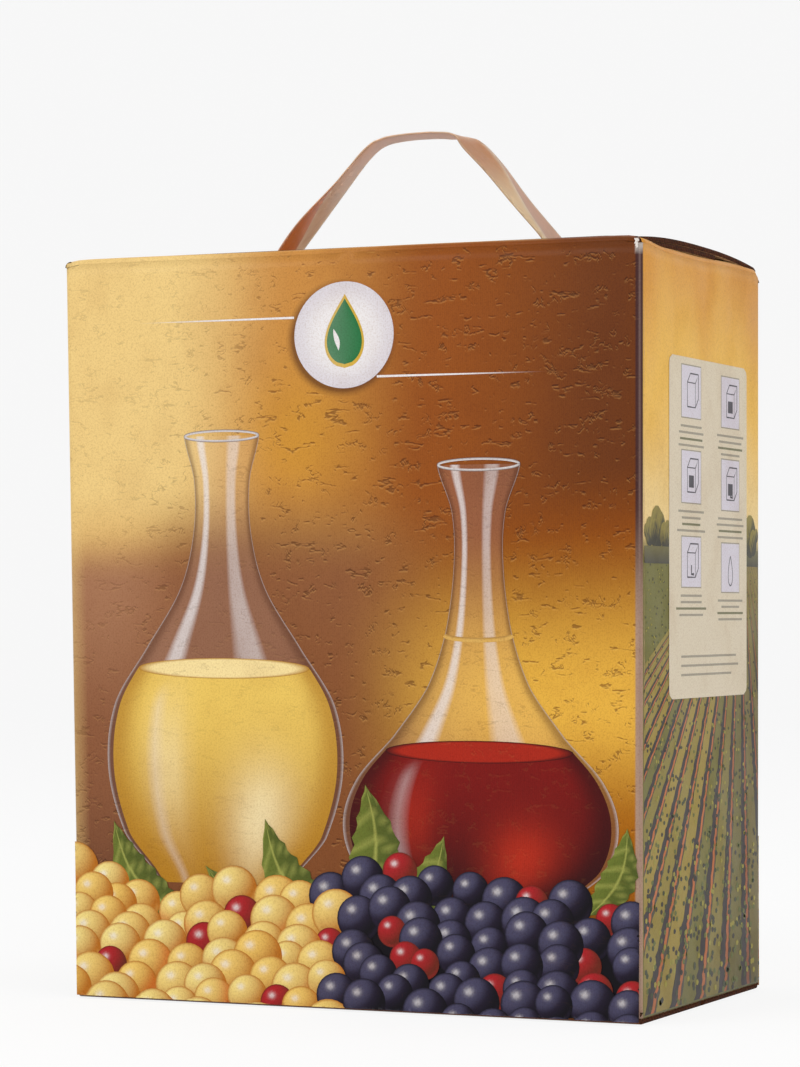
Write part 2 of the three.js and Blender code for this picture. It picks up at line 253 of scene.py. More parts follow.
def cracks(nodes, drop):
    """Short, ragged, mostly level crack lines, as a field from 0 to 1, moved down by drop millimetres."""
    def field(across, up, detail, distortion=0.0):
        vector = nodes.place((across, across, up), (0.0, 0.0, up * drop))
        return nodes.noise(vector, 1.0, detail, 0.55, distortion)

    def thin_line(noise, wide, narrow):
        return nodes.ramp(nodes.math("ABSOLUTE", nodes.math("SUBTRACT", noise, 0.5)), wide, narrow)

    level = thin_line(field(0.05, 0.19, 4.0), 0.024, 0.008)
    broken = nodes.ramp(field(0.15, 0.24, 3.0), 0.54, 0.60)
    curls = thin_line(field(0.30, 0.40, 3.0, 0.6), 0.035, 0.012)
    patches = nodes.ramp(field(0.17, 0.22, 1.0), 0.60, 0.66)
    level = nodes.math("MULTIPLY", level, broken)
    curls = nodes.math("MULTIPLY", curls, patches)
    return nodes.math("MAXIMUM", level, curls)


def printed_board():
    """Ink under gloss varnish: fine print grain, embossed cracks, faint flutes and a slight wave."""
    nodes = Nodes("printed_board")
    colour = nodes.add("ShaderNodeVertexColor", layer_name="ink")
    grain = nodes.noise(nodes.place(), 1.7, 3.0, 0.7)
    cloud = nodes.noise(nodes.place((0.06, 0.06, 0.05)), 1.0, 3.0, 0.6)
    speckle = nodes.ramp(grain, 0.42, 0.72, 0.0, 0.42)
    inked = nodes.blend("MULTIPLY", speckle, colour.outputs["Color"], (0.60, 0.46, 0.36))
    inked = nodes.blend("MULTIPLY", nodes.ramp(cloud, 0.45, 0.75, 0.0, 0.22), inked, (0.70, 0.58, 0.50))
    depth = colour.outputs["Alpha"]
    dark_edge = nodes.math("MULTIPLY", cracks(nodes, 0.0), depth)
    lit_edge = nodes.math("MULTIPLY", cracks(nodes, 0.5), depth)
    inked = nodes.blend("SCREEN", nodes.math("MULTIPLY", lit_edge, 0.20), inked, (0.85, 0.42, 0.12))
    inked = nodes.blend("MULTIPLY", nodes.math("MULTIPLY", dark_edge, 0.85), inked, (0.22, 0.11, 0.06))
    waves = nodes.noise(nodes.place((0.022, 0.022, 0.016)), 1.0, 2.0)
    normal = nodes.bump(waves, 3.0, 0.35)
    normal = nodes.bump(nodes.flutes(nodes.place((0.5, 0.5, 0.0)), "X", 0.9, 0.6), 0.05, 0.35, normal)
    normal = nodes.bump(dark_edge, -0.10, 0.5, normal)
    normal = nodes.bump(grain, 0.02, 0.5, normal)
    roughness = nodes.ramp(cloud, 0.3, 0.7, 0.30, 0.42)
    return nodes.finish(inked, normal, {"Roughness": roughness, "Specular IOR Level": 0.12})


def raw_board(name, light, dark, flute_pitch=2.0):
    """A cut edge of microflute board, or its bare inside: kraft paper with its flutes."""
    nodes = Nodes(name)
    fibre = nodes.noise(nodes.place((0.5, 0.5, 2.0)), 1.0, 4.0, 0.7)
    shade = nodes.blend("MIX", nodes.ramp(fibre, 0.3, 0.7), dark, light)
    flutes = nodes.flutes(nodes.place((1.0 / flute_pitch,) * 3), "DIAGONAL", 0.5, 1.0)
    # Painted shade: the flutes' hollows are darkened.
    flute_shade = nodes.ramp(flutes, 0.6, 0.2, 0.0, 0.45)
    shade = nodes.blend("MULTIPLY", flute_shade, shade, (0.25, 0.16, 0.10))
    return nodes.finish(shade, nodes.bump(flutes, 0.2, 0.5), {"Roughness": 0.85, "Specular IOR Level": 0.1})


def strap_film():
    """Tan film: smooth and shiny, a little see-through, with faint lengthwise lines."""
    nodes = Nodes("strap_film")
    colour = nodes.add("ShaderNodeVertexColor", layer_name="ink")
    streaks = nodes.noise(nodes.place((0.25, 1.6, 0.25)), 1.0, 3.0, 0.6)
    mottle = nodes.noise(nodes.place((0.5, 0.5, 0.5)), 1.0, 4.0, 0.7)
    drawn = nodes.ramp(streaks, 0.45, 0.75, 0.0, 0.35)
    shade = nodes.blend("MULTIPLY", drawn, colour.outputs["Color"], (0.55, 0.34, 0.20))
    shade = nodes.blend("SCREEN", nodes.ramp(mottle, 0.5, 0.8, 0.0, 0.22), shade, (0.75, 0.62, 0.48))
    relief = nodes.bump(streaks, 0.08, 0.5)
    return nodes.finish(shade, relief, {"Roughness": 0.42, "Transmission Weight": 0.55})


def moulded_plastic(name, colour, roughness):
    nodes = Nodes(name)
    cloud = nodes.noise(nodes.place((0.3, 0.3, 0.3)), 1.0, 3.0)
    shade = nodes.blend("MIX", nodes.ramp(cloud, 0.3, 0.8, 0.0, 0.25), colour, tuple(c * 0.8 for c in colour))
    relief = nodes.bump(nodes.noise(nodes.place((2, 2, 2)), 1.0), 0.02, 0.4)
    return nodes.finish(shade, relief, {"Roughness": roughness})


def barrier_film():
    """The bag's silvery film, drawn tight in places and crinkled in others."""
    nodes = Nodes("bag_film")
    crinkle = nodes.noise(nodes.place((0.12, 0.12, 0.12)), 1.0, 6.0, 0.7, 1.2)
    shade = nodes.blend("MIX", nodes.ramp(crinkle, 0.4, 0.6), (0.62, 0.63, 0.66), (0.80, 0.81, 0.83))
    return nodes.finish(shade, nodes.bump(crinkle, 1.5, 0.8), {"Roughness": 0.28, "Metallic": 0.55})


# Ground colours of the print. u runs across from the middle of the panel, w back from the front corner,
# and z up from the foot, all in millimetres.

GOLD_PALE = ink(233, 200, 130)
BROWN = ink(146, 84, 40)
BROWN_DARK = ink(106, 54, 27)
BROWN_EDGE = ink(78, 38, 20)
SKY_ORANGE = ink(212, 146, 58)
ROW_GREEN = ink(108, 104, 36)
ROW_SHADE = ink(72, 66, 50)
ROW_LIT = ink(158, 136, 52)
ROW_GAP = ink(44, 34, 34)
ROW_EARTH = ink(186, 104, 50)


def stops(value, marks):
    """The colour at a value, on an even run between the marks of (value, colour)."""
    if value <= marks[0][0]:
        return marks[0][1]
    for (low, first), (high, second) in zip(marks, marks[1:]):
        if value <= high:
            return mix(first, second, smooth(low, high, value))
    return marks[-1][1]


# The top band runs from pale gold at the left, lightened there by a painted sheen, to dark brown at the
# right.
FRONT_TOP = (
    (-65, GOLD_PALE), (-20, ink(196, 136, 64)), (30, ink(144, 76, 20)), (95, ink(104, 52, 14)),
)
FRONT_LEFT = (
    (20, ink(104, 62, 40)), (85, ink(136, 86, 56)), (140, ink(162, 114, 82)), (162, ink(212, 166, 98)),
)
FRONT_RIGHT = (
    (20, ink(140, 78, 10)), (60, ink(164, 98, 8)), (100, ink(226, 174, 66)), (160, ink(140, 72, 6)),
)


def front_ground(u, z):
    """Pale gold at the upper left, lightened there by a painted sheen, dark brown at the upper right, a gold
    glow at the lower right.
    """
    colour = stops(u - 2.0 + 0.05 * (TOP - z), FRONT_TOP)
    colour = mix(colour, ink(204, 146, 34), 0.55 * glow(u, z, -18, 188, 20, 24))
    left = mix(stops(z, FRONT_LEFT), ink(128, 74, 34), 0.75 * smooth(-86, -50, u))
    low = mix(left, stops(z, FRONT_RIGHT), smooth(-6, 52, u))
    colour = mix(colour, low, smooth(176, 147, z + 3.0 * sin(u / 21.0)))
    return mix(colour, GOLD_PALE, 0.40 * smooth(-96, -101, u))


def front_crack(u, z):
    """How strong the cracks are: faint on the pale gold."""
    return 0.22 + 0.55 * smooth(-60, 10, u + 0.4 * (TOP - z))


SIDE_SKY = (
    (158, ink(236, 206, 140)), (205, ink(236, 186, 78)), (250, ink(216, 150, 50)),
)


def side_ground(w, z):
    """Evening sky over a field; the field itself is drawn over it."""
    streaks = 5.0 * sin(w / 9.0 + z / 31.0) + 3.0 * sin(w / 4.3)
    sky = mix(stops(z + streaks, SIDE_SKY), ink(206, 140, 48), 0.5 * smooth(70, 121, w) * smooth(200, 240, z))
    field = mix(ROW_GREEN, ROW_SHADE, 0.45 * smooth(70, 121, w))
    return mix(field, sky, smooth(150, 156, z))


# The board

def lean_at(z):
    return LEAN * z / TOP


def leaning(x, z):
    """A place across the carton, from its middle, moved with the leaning left side."""
    return MIDDLE + (x if x > 0 else x * (1 + lean_at(z) / HALF_WIDTH))


def bow_at(y):
    """Rise of the glued top over the folds, for a place from the middle of the depth."""
    share = min(1.0, abs(y) / (HALF_DEPTH - FOLD_RADIUS))
    return BOW * (1 - share ** 2.5)


def front_crest(x):
    return TOP - 0.05 + 0.08 * sin(x / 17.0) - 0.75 * smooth(HALF_WIDTH - 6, HALF_WIDTH - SIDE_GAP, abs(x))


def crush(x, y):
    """How far the rear right corner of the top is knocked down."""
    share = min(1.0, max(0.0, 1 - (HALF_DEPTH - y) / 5.5))
    return 5.2 * (1 - sqrt(1 - share * share)) * smooth(12.0, 3.0, HALF_WIDTH - x)


def side_crest(w):
    """Height of a side's top fold: it sags behind the front corner, under the flaps' load."""
    return TOP - 0.7 - 1.1 * smooth(4, 24, w) * smooth(100, 52, w)


def loop_columns():
    """Places round the walls, from the left end of the front: across, back, and which part it is."""
    inner_x, inner_y = HALF_WIDTH - EDGE_RADIUS, HALF_DEPTH - EDGE_RADIUS

    def corner(side_x, side_y, start, part):
        x, y = side_x * inner_x, side_y * inner_y
        turns = [start + pi / 2 * i / TURN_STEPS for i in range(1, TURN_STEPS)]
        return [(x + EDGE_RADIUS * cos(a), y + EDGE_RADIUS * sin(a), part) for a in turns]

    right = steps(-inner_y, inner_y - 6.0, GRID_STEP) + steps(inner_y - 6.0, inner_y, 1.0)[1:]
    columns = [(x, -HALF_DEPTH, "front") for x in steps(-inner_x, inner_x, GRID_STEP)]
    columns += corner(1, -1, -pi / 2, "near")
    columns += [(HALF_WIDTH, y, "right") for y in right]
    columns += corner(1, 1, 0.0, "right")
    columns += [(x, HALF_DEPTH, "rear") for x in steps(inner_x, -inner_x, GRID_STEP)]
    columns += corner(-1, 1, pi / 2, "left")
    columns += [(-HALF_WIDTH, y, "left") for y in steps(inner_y, -inner_y, GRID_STEP)]
    columns += corner(-1, -1, pi, "front")
    return columns + columns[:1]


def crest_at(x, y, part):
    w = y + HALF_DEPTH
    if part == "front":
        return front_crest(x)
    if part == "rear":
        return TOP - crush(x, y)
    if part == "near":
        return TOP - 0.6
    return side_crest(w) - (crush(x, y) if x > 0 else 0.0)


def wall_ink(x, y, z, part):
    w = y + HALF_DEPTH
    if part == "front":
        return (*front_ground(x, z), front_crack(x, z))
    if part == "near":
        # The rounded near fold: darker purplish brown above, lightening to a pale tan painted highlight lower
        # down, with a painted highlight along its ridge and white torn paper at the top.
        edge = mix(ink(168, 138, 118), ink(66, 38, 38), smooth(120, 168, z))
        ridge_highlight = exp(-((HALF_WIDTH - x - HALF_DEPTH - y) / 0.5) ** 2)
        edge = mix(edge, ink(150, 122, 112), 0.45 * ridge_highlight)
        return (*mix(edge, ink(222, 214, 206), smooth(TOP - 4.0, TOP - 2.4, z)), 0.1)
    if part == "right":
        return side_ground(w, z)
    if part == "left":
        return side_ground(DEPTH - w, z)
    return (*front_ground(-x, z), front_crack(-x, z))


def wall_point(x, y, z):
    return (leaning(x, z), y, z)


def walls(board):
    columns = loop_columns()
    rows, inks = [], []
    count = round(TOP / GRID_STEP)
    for i in range(count + 1):
        row = []
        for x, y, part in columns:
            head = crest_at(x, y, part) - FOLD_RADIUS
            row.append((x, y, FOLD_RADIUS + (head - FOLD_RADIUS) * i / count, part))
        rows.append([wall_point(x, y, z) for x, y, z, _ in row])
        inks.append([wall_ink(*place) for place in row])
    board.grid(rows, inks)


# Inward and upward offsets along a quarter fold, from the wall's end.
FOLD_TURN = [
    (FOLD_RADIUS * (1 - cos(a)), FOLD_RADIUS * sin(a))
    for a in (pi / 2 * i / TURN_STEPS for i in range(1, TURN_STEPS + 1))
]


def main_flap(board, side, reach, height_at, head_at, flap_ink):
    """A front (side -1) or rear (side 1) flap: its fold, then a sheet whose height is height_at(x, y)."""
    half = HALF_WIDTH - SIDE_GAP
    across = steps(-half, half, GRID_STEP)
    face = side * HALF_DEPTH
    profile = [[(x, face, head_at(x) - FOLD_RADIUS) for x in across]]
    for inward, upward in FOLD_TURN:
        profile.append([(x, face - side * inward, head_at(x) - FOLD_RADIUS + upward) for x in across])
    start = FOLD_RADIUS
    for d in steps(start, start + 4.0, 1.0)[1:] + steps(start + 4.0, reach, 3.0)[1:]:
        y = face - side * d
        profile.append([(x, y, height_at(x, y)) for x in across])
    rows = [[wall_point(*p) for p in line] for line in profile]
    board.grid(rows, [[flap_ink(*p) for p in line] for line in profile], flip=side > 0)


def corner_dip(x):
    """The flaps' ends are drawn down a little at the carton's sides."""
    return 0.75 * smooth(HALF_WIDTH - 12, HALF_WIDTH - SIDE_GAP, abs(x))


def top_flaps(board):
    def outer_height(x, y):
        return TOP + bow_at(y) - corner_dip(x) - crush(x, y)

    def inner_height(x, y):
        sunk = outer_height(x, y) - BOARD - 0.25
        return sunk + (front_crest(x) - sunk) * smooth(4.0, 1.6, y + HALF_DEPTH)

    def top_ink(x, y, z):
        edge = smooth(3.5, 1.0, y + HALF_DEPTH)
        colour = mix(BROWN_DARK, BROWN, 0.4 * (0.5 - y / DEPTH))
        return (*mix(colour, ink(196, 138, 62), edge), 0.5)

    def front_fold_ink(x, y, z):
        colour = front_ground(x, TOP)
        # The crest of the front's top fold carries a painted highlight, golden at the left and brown further
        # right.
        fold_highlight = ink(214, 158, 62) if x < 70 else BROWN
        crest = smooth(0.5, 1.8, y + HALF_DEPTH) * smooth(-98, -60, x)
        return (*mix(colour, fold_highlight, 0.85 * crest), 0.2)

    main_flap(board, 1, OUTER_REACH, outer_height, lambda x: TOP - crush(x, HALF_DEPTH), top_ink)
    main_flap(board, -1, INNER_REACH, inner_height, front_crest, front_fold_ink)


def bottom_flaps(board):
    for side in (-1, 1):
        half = HALF_WIDTH - SIDE_GAP
        across = steps(-half, half, GRID_STEP)
        face = side * HALF_DEPTH
        rows = [[wall_point(x, face, FOLD_RADIUS) for x in across]]
        for inward, upward in FOLD_TURN:
            rows.append([wall_point(x, face - side * inward, FOLD_RADIUS - upward) for x in across])
        for d in steps(FOLD_RADIUS, HALF_DEPTH - PLY_GAP, GRID_STEP)[1:]:
            rows.append([wall_point(x, face - side * d, 0.0) for x in across])
        inks = [[mix(front_ground(p[0] - MIDDLE, 0), BROWN_EDGE, 0.5) for p in row] for row in rows]
        board.grid(rows, inks, flip=side < 0)


def dust_flaps(board):
    """The four flaps that fold in from the narrow sides, under the main ones."""
    inner = HALF_DEPTH - SIDE_GAP
    across = steps(-inner, inner, GRID_STEP)
    for side in (-1, 1):
        for level in ("top", "foot"):
            rows = []
            for inward, upward in [(0.0, 0.0)] + FOLD_TURN:
                row = []
                for y in across:
                    if level == "top":
                        z = side_crest(y + HALF_DEPTH) - FOLD_RADIUS + upward
                        z -= crush(HALF_WIDTH, y) if side > 0 else 0.0
                    else:
                        z = FOLD_RADIUS + BOARD + PLY_GAP - upward
                    row.append(wall_point(side * (HALF_WIDTH - inward), y, z))
                rows.append(row)
            for d in steps(FOLD_RADIUS, DUST_REACH, GRID_STEP)[1:]:
                row = []
                for y in across:
                    held = max(-HALF_DEPTH + 4.0, min(HALF_DEPTH - 4.0, y))
                    z = BOARD + PLY_GAP
                    if level == "top":
                        z = side_crest(y + HALF_DEPTH) - 3.6 * smooth(2, 12, d)
                        z -= crush(HALF_WIDTH - d, y) if side > 0 else 0.0
                    row.append(wall_point(side * (HALF_WIDTH - d), held, z))
                rows.append(row)
            colour = SKY_ORANGE if level == "top" else ROW_SHADE
            pale = ink(232, 196, 140) if level == "top" else ROW_SHADE
            inks = [[mix(colour, pale, 0.7 * smooth(2, 5, i) * smooth(11, 8, i)) for _ in row]
                    for i, row in enumerate(rows)]
            board.grid(rows, inks, flip=(side > 0) != (level == "top"))


def make_carton(materials):
    board = Build()
    walls(board)
    top_flaps(board)
    bottom_flaps(board)
    dust_flaps(board)
    piece = board.make("carton_board", materials, merge=0.05)
    thicken(piece, BOARD, -1.0, 1)
    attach(piece, "root")
    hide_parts("carton")


# The print

LIFT = 0.02                          # one layer of ink over the next


class Print(Build):
    """Shapes printed on one panel. A point is (across, up); place() puts it on the panel."""

    def __init__(self, place, low, high):
        super().__init__()
        self.place, self.low, self.high = place, low, high
        self.discs = 0

    def patch(self, rows, paint, layer, flip=False):
        """A grid of (across, up) points; paint(i, j, a, b) gives each its colour."""
        points = [[self.place(*self.trimmed(a, b), layer * LIFT) for a, b in row] for row in rows]
        inks = [[paint(i, j, a, b) for j, (a, b) in enumerate(row)] for i, row in enumerate(rows)]
        self.grid(points, inks, flip=flip)

    def trimmed(self, a, b):
        """The nearest place inside the panel's edges."""
        return min(self.high[0], max(self.low[0], a)), min(self.high[1], max(self.low[1], b))

    def disc(self, centre, radius, paint, layer, squeeze=1.0, rings=6, spokes=28):
        """paint(r, t, a, b): r runs from 0 to 1 and t is the angle."""
        turns = [2 * pi * j / spokes for j in range(spokes + 1)]
        rows = []
        self.discs += 1
        layer += 0.12 * (self.discs % 8)
        for i in range(rings + 1):
            r = radius * max(i, 0.001) / rings
            rows.append([(centre[0] + r * cos(t), centre[1] + squeeze * r * sin(t)) for t in turns])

        def ring_ink(i, j, a, b):
            return paint(i / rings, turns[j], a, b)
        self.patch(rows, ring_ink, layer, flip=True)

    def turned(self, centre, profile, paint, layer, across=28):
        """A round thing seen from the side: profile lists (up, half width); paint(s, b, a)."""
        shares = [sin(pi * (j / across - 0.5)) for j in range(across + 1)]
        rows = [[(centre + s * half, up) for s in shares] for up, half in profile]
        self.patch(rows, lambda i, j, a, b: paint(shares[j], b, a), layer)

    def stroke(self, points, width, paint, layer):
        """A line through the points; width(k) and paint(k, side) take the share of its length."""
        rows = []
        count = len(points) - 1
        for i, (a, b) in enumerate(points):
            before, after = points[max(i - 1, 0)], points[min(i + 1, count)]
            da, db = after[0] - before[0], after[1] - before[1]
            length = hypot(da, db) or 1.0
            half = width(i / count) / 2
            na, nb = -db / length * half, da / length * half
            rows.append([(a - na, b - nb), (a, b), (a + na, b + nb)])
        self.patch(rows, lambda i, j, a, b: paint(i / count, j - 1, a, b), layer, flip=True)

    def bar(self, low, high, colour, layer):
        self.patch([[(low[0], b), (high[0], b)] for b in (low[1], high[1])], lambda *_: colour, layer)

    def panel(self, low, high, round_off, colour, layer):
        """A plate with rounded corners."""
        rows = []
        for b in steps(low[1], high[1], 1.2):
            inset = 0.0
            for end in (low[1], high[1]):
                away = abs(b - end)
                if away < round_off:
                    inset = max(inset, round_off - sqrt(round_off ** 2 - (round_off - away) ** 2))
            rows.append([(low[0] + inset, b), (high[0] - inset, b)])
        self.patch(rows, lambda *_: colour, layer)


def on_front(u, z, lift):
    return (leaning(u, z), -HALF_DEPTH - lift, z)


def on_right(w, z, lift):
    return (MIDDLE + HALF_WIDTH + lift, -HALF_DEPTH + w, z)


def on_rear(u, z, lift):
    return (leaning(-u, z), HALF_DEPTH + lift, z)


def on_left(w, z, lift):
    return (leaning(-HALF_WIDTH, z) - lift, HALF_DEPTH - w, z)


WHITE = ink(232, 228, 228)
PALE_WINE = ink(232, 196, 96)
DEEP_PALE_WINE = ink(176, 124, 32)
RED_WINE = ink(120, 18, 14)
RED_WINE_LIT = ink(196, 50, 26)
RED_WINE_DARK = ink(46, 8, 10)
PLUM = ink(48, 38, 64)
PLUM_BLOOM = ink(120, 122, 158)
PLUM_DARK = ink(10, 6, 14)
CHERRY = ink(176, 32, 40)
APRICOT = ink(238, 200, 104)
LEMON = ink(242, 228, 148)
LEAF = ink(112, 124, 48)
LEAF_DARK = ink(44, 54, 22)


def emblem(front):
    """The white roundel with a green drop, and the two tapering rules beside it."""
    centre, radius = (-1.4, 221.2), 17.5

    def shade(r, t, a, b):
        fade = smooth(0.86, 1.0, r)
        strength = 0.75 if cos(t) < 0.2 or sin(t) < 0 else 0.35
        return (*mix(mix(front_ground(a, b), BROWN_EDGE, strength), front_ground(a, b), fade), 0.1)

    front.disc((centre[0] - 0.9, centre[1] - 1.0), radius + 2.2, shade, 1, rings=16, spokes=72)
    front.disc(centre, radius, lambda r, t, a, b: mix(WHITE, ink(214, 208, 214), smooth(0.5, 1.0, r)),
               2, rings=6, spokes=72)
    for grow, colour, layer in ((1.13, ink(206, 168, 60), 3), (1.0, ink(34, 112, 62), 4)):
        rows = []
        for k in steps(0.0, 1.0, 1 / 32):
            half = 6.6 * grow * sin(pi * k) ** 0.5 * (1 - k) ** 0.55 * 1.25
            up = centre[1] - 9.6 * grow + 21.5 * grow * k
            rows.append([(centre[0] + half * s, up) for s in (-1.0, -0.5, 0.0, 0.5, 1.0)])
        front.patch(rows, lambda i, j, a, b: mix(colour, WHITE, 0.10 * (4 - j) / 4), layer)
    front.stroke([(centre[0] - 3.2 + 1.1 * cos(k / 3.2), centre[1] - 5.0 + k) for k in range(8)],
                 lambda k: 1.6 * sin(pi * k) + 0.1, lambda *_: WHITE, 5)
    for start, end, up in ((-19.0, -77.0, 227.4), (10.1, 70.0, 207.3)):
        line = [(a, up) for a in steps(start, end, 2.0)]
        front.stroke(line, lambda k: 0.75 - 0.5 * k,
                     lambda k, side, a, b: mix(WHITE, front_ground(a, b), smooth(0.45, 1.0, k)), 3)


def glass_ink(s, z, u):
    """Clear glass over the ground: dark rims at the sides and upright window lights."""
    colour = mix(front_ground(u, z), WHITE, 0.05)
    colour = mix(colour, BROWN_EDGE, 0.55 * smooth(0.80, 0.97, abs(s)))
    colour = mix(colour, WHITE, 0.65 * smooth(0.10, 0.05, abs(s + 0.58)))
    colour = mix(colour, WHITE, 0.42 * smooth(0.17, 0.13, abs(s - 0.36)))
    return mix(colour, WHITE, 0.45 * smooth(0.985, 1.0, abs(s)))


def wine_ink(s, rise, deep, body, lit):
    colour = mix(deep, body, smooth(0.0, 0.9, rise))
    colour = mix(colour, lit, 0.75 * exp(-((s - 0.35) / 0.28) ** 2 - ((rise - 0.30) / 0.25) ** 2))
    colour = mix(colour, lit, 0.45 * exp(-((s + 0.5) / 0.16) ** 2 - ((rise - 0.55) / 0.3) ** 2))
    colour = mix(colour, deep, 0.75 * smooth(0.72, 0.98, abs(s)))
    return mix(colour, WHITE, 0.6 * smooth(0.05, 0.02, abs(s + 0.66)) * smooth(0.95, 0.8, rise))


def profile_through(marks, spacing=1.6):
    """Half widths along the height, on a smooth line through the marks of (up, half width)."""
    line = []
    for i in range(len(marks) - 1):
        near = [marks[min(max(i + d, 0), len(marks) - 1)][1] for d in (-1, 0, 1, 2)]
        low, high = marks[i][0], marks[i + 1][0]
        for up in steps(low, high, spacing)[:-1]:
            line.append((up, eased(*near, (up - low) / (high - low))))
    line.append(marks[-1])
    return line


def vessel(front, centre, outline, level, wine, layer, lip):
    """A decanter of the given outline, with wine in it up to the level."""
    deep, full, lit = wine
    foot = outline[0][0]

    def wine_paint(s, b, a):
        return (*wine_ink(s, (b - foot) / (level - foot), *wine), 0.12)

    def surface_paint(r, t, a, b):
        return (*mix(mix(full, lit, 0.55), deep, smooth(0.86, 1.0, r)), 0.2)

    def lip_paint(k, side, a, b):
        return mix(WHITE, BROWN_EDGE, 0.25 + 0.6 * (side < 0))

    front.turned(centre, outline, lambda s, b, a: (*glass_ink(s, b, a), 0.22), layer)
    filled = [(up, half * 0.95) for up, half in outline if up <= level]
    front.turned(centre, filled, wine_paint, layer + 1)
    front.disc((centre, filled[-1][0]), filled[-1][1], surface_paint, layer + 2, squeeze=0.11, spokes=40)
    up, wide = lip
    turns = steps(0, 2 * pi, 0.16)
    ring = [(centre + wide * cos(t), up + 0.13 * wide * sin(t)) for t in turns]
    front.stroke(ring, lambda k: 0.8, lip_paint, layer + 3)


def fruit(front, centre, radius, base, dark, layer, shine=0.55, squeeze=1.0, bloom=0.0, blush=None):
    """A round fruit lit from the upper left, with a small highlight and a soft lit rim below."""
    def paint(r, t, a, b):
        x, y = r * cos(t), r * sin(t)
        depth = sqrt(max(0.0, 1 - r * r))
        lit = max(0.0, -0.50 * x + 0.58 * y + 0.64 * depth)
        colour = mix(dark, base, min(1.0, lit ** 1.3))
        colour = mix(colour, base, 0.35 * smooth(0.72, 0.95, r) * smooth(0.1, -0.6, y))
        if blush is not None:
            sunny = smooth(0.0, 0.95, x * cos(blush) + y * sin(blush))
            colour = mix(colour, ink(214, 104, 44), 0.5 * sunny)
        colour = mix(colour, PLUM_BLOOM, bloom * smooth(0.45, 0.85, lit))
        colour = mix(colour, dark, 0.8 * smooth(0.90, 1.0, r))
        gleam = exp(-((x + 0.34) / 0.17) ** 2 - ((y - 0.40) / 0.13) ** 2)
        return (*mix(colour, WHITE, shine * gleam), 0.03)
    front.disc(centre, radius, paint, layer, squeeze, rings=9, spokes=26)


def leaf(front, start, end, bend, width, layer):
    """A leaf along a bent midrib, paler along its veins."""
    da, db = end[0] - start[0], end[1] - start[1]
    length = hypot(da, db)
    shares = (-1, -0.6, -0.12, 0, 0.12, 0.6, 1)
    rows = []
    for k in steps(0.0, 1.0, 0.05):
        sway = bend * sin(pi * k)
        a, b = start[0] + da * k - db * sway, start[1] + db * k + da * sway
        ragged = 1 + 0.10 * sin(k * 44)
        half = width * sin(pi * min(1.0, k * 1.02)) ** 0.8 * (1 - 0.35 * k) * ragged
        rows.append([(a - db / length * half * s, b + da / length * half * s) for s in shares])

    def paint(i, j, a, b):
        side = j / 6
        colour = mix(LEAF_DARK, LEAF, 0.35 + 0.5 * side)
        vein = max(smooth(0.6, 0.1, abs(j - 3)), 0.55 * smooth(0.3, 0.1, abs((i + abs(j - 3)) % 4 - 1)))
        return (*mix(colour, ink(176, 178, 92), 0.7 * vein), 0.1)
    front.patch(rows, paint, layer, flip=True)


# Outlines of the two vessels, as (height, half width).
JUG = ((40, 24), (56, 37), (78, 43), (100, 40), (120, 27), (138, 15.5), (156, 10.5), (174, 10), (189, 13.5))
DECANTER = (
    (36, 30), (48, 44), (62, 48), (76, 43), (90, 30), (106, 18), (124, 11.5), (146, 8.6), (163, 9.4),
    (178, 14.5),
)
PALE_FILL = (DEEP_PALE_WINE, PALE_WINE, ink(250, 236, 190))
RED_FILL = (RED_WINE_DARK, RED_WINE, RED_WINE_LIT)


